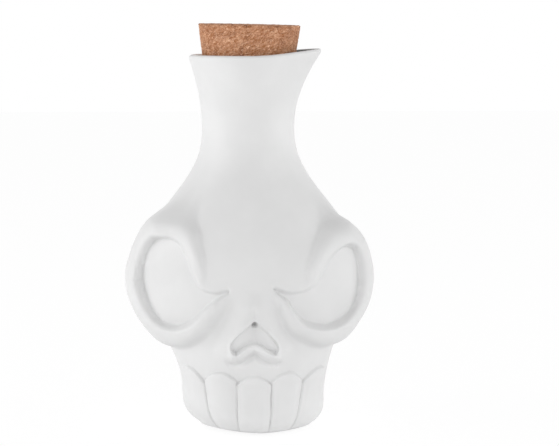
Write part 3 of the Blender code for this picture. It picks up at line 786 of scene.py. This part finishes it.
cork_bottom = CORK_TOP_LEVEL - CORK_LENGTH
taper = math.tan(math.radians(CORK_HALF_ANGLE))
seats = np.linspace(cork_bottom, LIP_LEVEL - LIP_WALL, SEAT_SAMPLES)
seat_radius = min(inner_radius(level) - (level - cork_bottom) * taper for level in seats)
base_radius = seat_radius - CORK_CLEARANCE
top_radius = base_radius + CORK_LENGTH * taper


def cork_profile():
    """The cork's half outline from the middle of its foot, up its side, to the middle of its top."""
    foot, top = base_radius - CORK_EDGE, top_radius - CORK_EDGE
    end_rows = int(foot / CORK_ROW)
    turns = [math.pi / 2 * k / EDGE_STEPS for k in range(1, EDGE_STEPS)]
    profile = [(foot * k / end_rows, 0.0) for k in range(end_rows + 1)]
    profile += [(base_radius - CORK_EDGE * (1 - math.sin(a)), CORK_EDGE * (1 - math.cos(a))) for a in turns]
    heights = np.arange(CORK_EDGE, CORK_LENGTH - CORK_EDGE, CORK_ROW)
    profile += [(base_radius + height * taper, height) for height in heights]
    for a in [0] + turns:
        inset, drop = CORK_EDGE * (1 - math.cos(a)), CORK_EDGE * (1 - math.sin(a))
        profile.append((top_radius - inset, CORK_LENGTH - drop))
    return profile + [(top * k / end_rows, CORK_LENGTH) for k in range(end_rows, -1, -1)]


cork_mesh = bmesh.new()
profile = [cork_mesh.verts.new((radius, 0, level)) for radius, level in cork_profile()]
spin_profile(cork_mesh, profile, CORK_TURNS)
cork_mesh.normal_update()
print("cork:", len(cork_mesh.verts), "points,", round(2 * top_radius, 1), "mm across the top")

# %% [markdown]
# ## Granules in relief
#
# Voronoi cells are a good picture of crushed granules. Each cell sinks by its own small amount, the
# joints between cells form shallow grooves, and a few cells have torn out. All of it moves inwards,
# so the stopper never grows beyond its seat. The edges of the two ends get more of the torn cells.

# %% Press the granules in
# Millimetres, and shares of a cell or of all cells. Each cell draws its own two numbers from a noise
GRANULE = 1.7
JOINT_SHARE = 0.35
JOINT_DEPTH = 0.10
GRANULE_DEPTH = 0.16
TORN_SHARE = 0.07
TORN_DEPTH = 0.55
EDGE_TORN_SHARE = 0.42
EDGE_TORN_DEPTH = 0.9
EDGE_BAND = 1.5
CELL_DRAW = 9.7
CELL_DRAW_OFFSETS = (0.0, 40.0)
# The cork was pushed in a little askew, within the room that the flare leaves
CORK_LEAN = math.radians(1.0)


def granule_depth(co):
    """How deep a point of the cork lies under the turned surface."""
    distances, centres = noise.voronoi(co / GRANULE)
    joint = 1.0 - float(smooth((distances[1] - distances[0]) / JOINT_SHARE))
    draws = [noise.noise(centres[0] * CELL_DRAW + Vector((k, k, k))) for k in CELL_DRAW_OFFSETS]
    sunk, torn = (draw % 1.0 for draw in draws)
    to_end = min(co.z, CORK_LENGTH - co.z)
    to_side = base_radius + co.z * taper - math.hypot(co.x, co.y)
    share, depth = TORN_SHARE, TORN_DEPTH
    if to_end + to_side < EDGE_BAND:
        share, depth = EDGE_TORN_SHARE, EDGE_TORN_DEPTH
    depth = depth * (1.0 - joint) if torn < share else 0.0
    return GRANULE_DEPTH * sunk + JOINT_DEPTH * joint + depth


moves = [vert.normal * granule_depth(vert.co) for vert in cork_mesh.verts]
for vert, move in zip(cork_mesh.verts, moves):
    vert.co -= move
    share = vert.co.z / CORK_LENGTH
    drop = CORK_TOP_SLANT * share * (vert.co.x / (2 * top_radius) + 0.5)
    vert.co.z += cork_bottom - drop
    vert.co.x += NECK_SHIFT + math.tan(CORK_LEAN) * share * CORK_LENGTH
    vert.co *= MM
cork = new_object("agglomerated_cork", mesh_data(cork_mesh, "agglomerated_cork"))
cork.data.shade_smooth()
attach(cork, "stopper")
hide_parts("cork_stopper")
print("deepest granule:", round(max(move.length for move in moves), 2), "mm")

# %% [markdown]
# ## Colours and nodes
#
# Colours are written as the sRGB hex values a picker shows, and one function turns them linear. One
# small function adds any shader node with its settings and links, which keeps a material readable as
# a list of its layers. The patterns read Object coordinates, so their sizes are true millimetres.

# %% Helpers for materials
def linear(hex_colour):
    """An sRGB hex colour as the linear values that sockets take."""
    shares = [int(hex_colour[i : i + 2], 16) / 255 for i in (1, 3, 5)]
    return [s / 12.92 if s <= 0.04045 else ((s + 0.055) / 1.055) ** 2.4 for s in shares] + [1.0]


def per_mm(size):
    """The scale that gives a pattern this size in millimetres, on coordinates in metres."""
    return 1 / (size * MM)


def add_node(tree, kind, inputs=None, stops=None, **settings):
    """Adds one node. Inputs are values, outputs, or nodes, which give their first output in use."""
    node = tree.nodes.new("ShaderNode" + kind)
    for name, value in settings.items():
        setattr(node, name, value)
    for socket, value in (inputs or {}).items():
        if isinstance(value, bpy.types.Node):
            value = next(output for output in value.outputs if output.enabled)
        if isinstance(value, bpy.types.NodeSocket):
            tree.links.new(value, node.inputs[socket])
        else:
            node.inputs[socket].default_value = value
    if stops:
        ramp = node.color_ramp.elements
        while len(ramp) < len(stops):
            ramp.new(1.0)
        for element, (place, colour) in zip(ramp, stops):
            element.position = place
            element.color = linear(colour)
    return node


def new_material(name):
    """An empty node material and its output node."""
    material = bpy.data.materials.new(name)
    material.use_nodes = True
    material.node_tree.nodes.clear()
    return material, material.node_tree, add_node(material.node_tree, "OutputMaterial")


def seen_rays(tree):
    """1 for what the camera sees, also in gloss and through glass, and 0 for light on its way."""
    path = add_node(tree, "LightPath").outputs
    seen = add_node(tree, "Math", {0: path["Is Camera Ray"], 1: path["Is Glossy Ray"]}, operation="MAXIMUM")
    return add_node(tree, "Math", {0: seen, 1: path["Is Transmission Ray"]}, operation="MAXIMUM")


print("mid grey #808080 is", round(linear("#808080")[0], 3), "linear")

# %% [markdown]
# ## White stoneware
#
# The bottle is white stoneware, cast in a mould, sponged and fired with a thin matt glaze. The eye
# sees an even neutral white with no mirror in it, only a broad soft sheen, the faint waviness that
# the sponge leaves, and a grain as fine as eggshell. Fired clay has an index near 1.5. The grain is
# really 0.2 mm and is drawn at 0.4 mm, because it would vanish between the pixels.
#
# The one glimpse of the inside, beside the cork, is nearly black, so the inside is coloured
# nearly black. It is glossier than the outside, and an attribute of the bottle says where it
# lies.

# %% Matt white stoneware, surface pattern
GRAIN_MM = 0.4
SPONGE_MARK_MM = 6.0
CLOUD_MM = 26.0
GRAIN_RELIEF = 0.02 * MM
SPONGE_MARK_RELIEF = 0.10 * MM

stoneware, tree, output = new_material("Matt white stoneware")
place = add_node(tree, "TexCoord").outputs["Object"]
clouds = add_node(tree, "TexNoise", {"Vector": place, "Scale": per_mm(CLOUD_MM), "Detail": 3.0})
marks = add_node(tree, "TexNoise", {"Vector": place, "Scale": per_mm(SPONGE_MARK_MM), "Detail": 2.0})
grain = add_node(tree, "TexNoise", {"Vector": place, "Scale": per_mm(GRAIN_MM), "Detail": 2.0})
waves = add_node(tree, "Bump", {"Height": marks, "Strength": 0.5, "Distance": SPONGE_MARK_RELIEF})
eggshell = add_node(
    tree, "Bump", {"Height": grain, "Strength": 0.5, "Distance": GRAIN_RELIEF, "Normal": waves}
)
print("stoneware grain:", GRAIN_MM, "mm, sponge marks:", SPONGE_MARK_MM, "mm")

# %% Matt white outside, dark inside
MATT, SATIN, DARK_INSIDE_GLOSS = 0.62, 0.50, 0.25

white = add_node(
    tree, "ValToRGB", {"Fac": clouds}, stops=[(0.34, "#DBDBDB"), (0.5, "#DDDDDD"), (0.66, "#E0E0E0")]
)
# The inside and the inner side of the lip's roll are coloured nearly black and made glossier, where the
# attribute says
dark_inside_mask = add_node(tree, "Attribute", attribute_name="dark_inside").outputs["Fac"]
tint = add_node(tree, "Mix", {0: dark_inside_mask, 6: white, 7: linear("#3A3938")}, data_type="RGBA")
sheen = add_node(
    tree, "MapRange", {"Value": marks, "From Min": 0.3, "From Max": 0.7, "To Min": SATIN, "To Max": MATT}
)
gloss = add_node(tree, "Mix", {0: dark_inside_mask, 2: sheen, 3: DARK_INSIDE_GLOSS}, data_type="FLOAT")
glaze = add_node(
    tree, "BsdfPrincipled",
    {"Base Color": tint, "Roughness": gloss, "IOR": 1.5, "Metallic": 0.0, "Normal": eggshell},
)
tree.links.new(glaze.outputs["BSDF"], output.inputs["Surface"])
bottle.data.materials.append(stoneware)
print("stoneware roughness", SATIN, "to", MATT, "outside,", DARK_INSIDE_GLOSS, "inside")

# %% [markdown]
# ## Agglomerated cork
#
# Ground cork bark is pressed into rods with a clear binder and turned. Close up it is a mosaic of tan
# granules, squeezed a little longer one way, with paler flakes, thin joints and clusters of small
# dark bark specks. Two Voronoi patterns on stretched coordinates give the granules, noise gives the
# specks, and they also drive the bump. Cork is dry and soft, so it has hardly any gloss.

# %% Cork granules and specks
COARSE_MM = 2.2
FINE_MM = 0.9
SPECK_MM = 0.5
CLUSTER_MM = 4.0
DUST_MM = 0.3
# The granules' edges wander by up to half of WANDER_BY, in waves of WANDER_MM
WANDER_MM = 1.6
WANDER_BY = 1.0 * MM
LEAN_OF_GRAIN = math.radians(28)
SQUEEZE = 2.4

cork_finish, tree, output = new_material("Agglomerated cork")
place = add_node(tree, "TexCoord").outputs["Object"]
wander = add_node(tree, "TexNoise", {"Vector": place, "Scale": per_mm(WANDER_MM), "Detail": 2.0})
offset = add_node(
    tree, "VectorMath", {0: wander.outputs["Color"], 1: (0.5, 0.5, 0.5)}, operation="SUBTRACT"
)
shift = add_node(tree, "VectorMath", {0: offset, "Scale": WANDER_BY}, operation="SCALE")
torn = add_node(tree, "VectorMath", {0: place, 1: shift}, operation="ADD")
turned = add_node(tree, "Mapping", {"Vector": torn, "Rotation": (0.0, LEAN_OF_GRAIN, 0.0)})
squeezed = add_node(tree, "Mapping", {"Vector": turned, "Scale": (1.0, 1.0, SQUEEZE)})
coarse = add_node(tree, "TexVoronoi", {"Vector": squeezed, "Scale": per_mm(COARSE_MM)})
small = add_node(tree, "TexVoronoi", {"Vector": squeezed, "Scale": per_mm(FINE_MM)})
joints = add_node(
    tree, "TexVoronoi", {"Vector": squeezed, "Scale": per_mm(COARSE_MM)}, feature="DISTANCE_TO_EDGE"
)
specks = add_node(tree, "TexNoise", {"Vector": squeezed, "Scale": per_mm(SPECK_MM), "Detail": 1.0})
clusters = add_node(tree, "TexNoise", {"Vector": torn, "Scale": per_mm(CLUSTER_MM), "Detail": 1.0})
dust = add_node(tree, "TexNoise", {"Vector": squeezed, "Scale": per_mm(DUST_MM), "Detail": 3.0})
print("cork granules:", COARSE_MM, "and", FINE_MM, "mm")

# %% Cork colour
CORK_DARK, CORK_LIGHT = "#A2683F", "#EABD9C"
# How much the small granules, the dust and the clusters weigh against what they are mixed with
FINE_SHARE = 0.55
DUST_SHARE = 0.35
CLUSTER_SHARE = 0.35

coarse_chance = add_node(tree, "SeparateColor", {"Color": coarse.outputs["Color"]}).outputs["Red"]
small_chance = add_node(tree, "SeparateColor", {"Color": small.outputs["Color"]}).outputs["Green"]
granules = add_node(tree, "Mix", {0: FINE_SHARE, 2: coarse_chance, 3: small_chance}, data_type="FLOAT")
dusted = add_node(tree, "Mix", {0: DUST_SHARE, 2: granules, 3: dust}, data_type="FLOAT")
tans = add_node(
    tree, "ValToRGB", {"Fac": dusted},
    stops=[(0.26, CORK_DARK), (0.42, "#BB8461"), (0.54, "#C5906D"), (0.66, "#D2A07E"), (0.8, CORK_LIGHT)],
)
clustered = add_node(tree, "Math", {0: clusters, 1: CLUSTER_SHARE, 2: specks}, operation="MULTIPLY_ADD")
speck = add_node(
    tree, "MapRange", {"Value": clustered, "From Min": 0.78, "From Max": 0.87, "To Min": 0.0, "To Max": 0.9}
)
speckled = add_node(tree, "Mix", {0: speck, 6: tans, 7: linear("#743516")}, data_type="RGBA")
joint_mask = add_node(
    tree, "MapRange", {"Value": joints, "From Min": 0.0, "From Max": 0.10, "To Min": 0.35, "To Max": 0.0}
)
cork_colour = add_node(tree, "Mix", {0: joint_mask, 6: speckled, 7: linear("#8A5A3C")}, data_type="RGBA")
print("cork runs from", CORK_DARK, "to", CORK_LIGHT)

# %% Cork surface
CORK_ROUGHNESS = 0.85
JOINT_RELIEF = 0.12 * MM
GRANULE_RELIEF = 0.08 * MM
SPECK_RELIEF = 0.15 * MM

joint_height = add_node(tree, "MapRange", {"Value": joints, "From Min": 0.0, "From Max": 0.15})
relief = add_node(tree, "Bump", {"Height": joint_height, "Strength": 0.6, "Distance": JOINT_RELIEF})
for height, strength in ((small_chance, 0.5), (dust, 0.6)):
    relief = add_node(
        tree, "Bump", {"Height": height, "Strength": strength, "Distance": GRANULE_RELIEF, "Normal": relief}
    )
relief = add_node(
    tree, "Bump", {"Height": speck, "Strength": 0.8, "Distance": SPECK_RELIEF, "Normal": relief}, invert=True
)
bark = add_node(
    tree, "BsdfPrincipled",
    {"Base Color": cork_colour, "Roughness": CORK_ROUGHNESS, "IOR": 1.45, "Metallic": 0.0, "Normal": relief},
)
tree.links.new(bark.outputs["BSDF"], output.inputs["Surface"])
cork.data.materials.append(cork_finish)
print("cork roughness", CORK_ROUGHNESS)

# %% [markdown]
# ## Floor and backdrop
#
# The photograph is a white cut-out. Such pictures are taken on a sheet of white acrylic with a little
# light from below, which also brightens the underside of the jaw. Here the floor is a pale diffuse
# sheet that glows faintly. Only to the camera, and in gloss and glass, does it show near white, with
# the soft contact shadow kept, so it comes out white without more light on the clay.

# %% Acrylic sheet
SHEET_GLOW = 0.19
SEEN_GLOW = 0.85
SHEET_SIZE = 3.0

acrylic, tree, output = new_material("White acrylic sheet")
matt = add_node(tree, "BsdfDiffuse", {"Color": linear("#F4F4F4")})
under_light = add_node(tree, "Emission", {"Strength": SHEET_GLOW})
sheet = add_node(tree, "AddShader", {0: matt, 1: under_light})
shadow_catcher = add_node(tree, "BsdfDiffuse", {"Color": linear("#7C7C7C")})
near_white = add_node(tree, "Emission", {"Strength": SEEN_GLOW})
seen = add_node(tree, "AddShader", {0: shadow_catcher, 1: near_white})
surface = add_node(tree, "MixShader", {0: seen_rays(tree), 1: sheet, 2: seen})
tree.links.new(surface.outputs["Shader"], output.inputs["Surface"])
floor_mesh = bmesh.new()
bmesh.ops.create_grid(floor_mesh, x_segments=1, y_segments=1, size=SHEET_SIZE)
floor = new_object("acrylic_sheet", mesh_data(floor_mesh, "acrylic_sheet"))
floor.data.materials.append(acrylic)
print("floor:", [round(side, 1) for side in floor.dimensions[:2]], "m, glow", SHEET_GLOW)

# %% [markdown]
# ## Light tent
#
# White ware is shot in a light tent whose walls are brighter than its top, with a softbox at each
# side. The forms then brighten towards both outlines and down the jaw, and turn a soft grey where
# they face the camera or look up. A world that fades with height is such a tent, and two area lamps
# are the boxes.

# %% Tent
WALL_STRENGTH = 1.87
TOP_STRENGTH = 0.28
# The walls fade into the top between these heights of a direction: 0 is level and 1 straight up
FADE_START = -0.1
FADE_END = 0.9

world = bpy.data.worlds.new("Light tent")
bpy.context.scene.world = world
world.use_nodes = True
world.node_tree.nodes.clear()
tree = world.node_tree
direction = add_node(tree, "TexCoord").outputs["Generated"]
upward = add_node(tree, "SeparateXYZ", {0: direction}).outputs["Z"]
strength = add_node(
    tree, "MapRange",
    {
        "Value": upward, "From Min": FADE_START, "From Max": FADE_END,
        "To Min": WALL_STRENGTH, "To Max": TOP_STRENGTH,
    },
)
tent = add_node(tree, "Background", {"Color": (1, 1, 1, 1), "Strength": strength})
backdrop = add_node(tree, "Background", {"Color": (1, 1, 1, 1), "Strength": 1.0})
around = add_node(tree, "MixShader", {0: seen_rays(tree), 1: tent, 2: backdrop})
add_node(tree, "OutputWorld", {"Surface": around})
print("tent walls", WALL_STRENGTH, "and top", TOP_STRENGTH)

# %% Softboxes
LEFT_BOX_WATTS = 2.1
RIGHT_BOX_WATTS = 1.2
BOX_SIZE = 0.5
BOX_PLACE = Vector((1.0, -0.2, 0.27))
AIM = Vector((0, 0, 0.1))

for name, side, watts in (("Left softbox", -1, LEFT_BOX_WATTS), ("Right softbox", 1, RIGHT_BOX_WATTS)):
    lamp = bpy.data.lights.new(name, "AREA")
    lamp.size = BOX_SIZE
    lamp.energy = watts
    box = new_object(name, lamp)
    box.location = BOX_PLACE * Vector((side, 1, 1))
    box.rotation_euler = (AIM - box.location).to_track_quat("-Z", "Y").to_euler()
    print(name, watts, "W")

# %% [markdown]
# ## Camera
#
# The photograph looks slightly down, six degrees, and the skull is turned three degrees from it. A
# long lens about a metre away gives the flat rim and the small drop of the jaw's lower edge.

# %% Camera
# The focal length in the photograph's pixels was fitted. Distances are in metres
PHOTO_WIDTH = 559
FOCAL_PIXELS = 2130
SENSOR_MM = 36
DISTANCE = 1.065
PITCH = math.radians(6)
YAW = math.radians(-3)
LOOK_AT = Vector((0.01475, 0, 0.10148))

view = bpy.data.cameras.new("Camera")
view.sensor_width = SENSOR_MM
view.lens = FOCAL_PIXELS / PHOTO_WIDTH * view.sensor_width
camera = new_object("Camera", view)
turn = Matrix.Rotation(YAW, 3, "Z")
gaze = Vector((0, math.cos(PITCH), -math.sin(PITCH)))
camera.location = turn @ (LOOK_AT - gaze * DISTANCE)
camera.rotation_euler = (turn @ gaze).to_track_quat("-Z", "Y").to_euler()
bpy.context.scene.camera = camera
bpy.context.scene.view_settings.view_transform = "Standard"
print("lens", round(view.lens, 1), "mm, camera at", [round(value, 3) for value in camera.location])
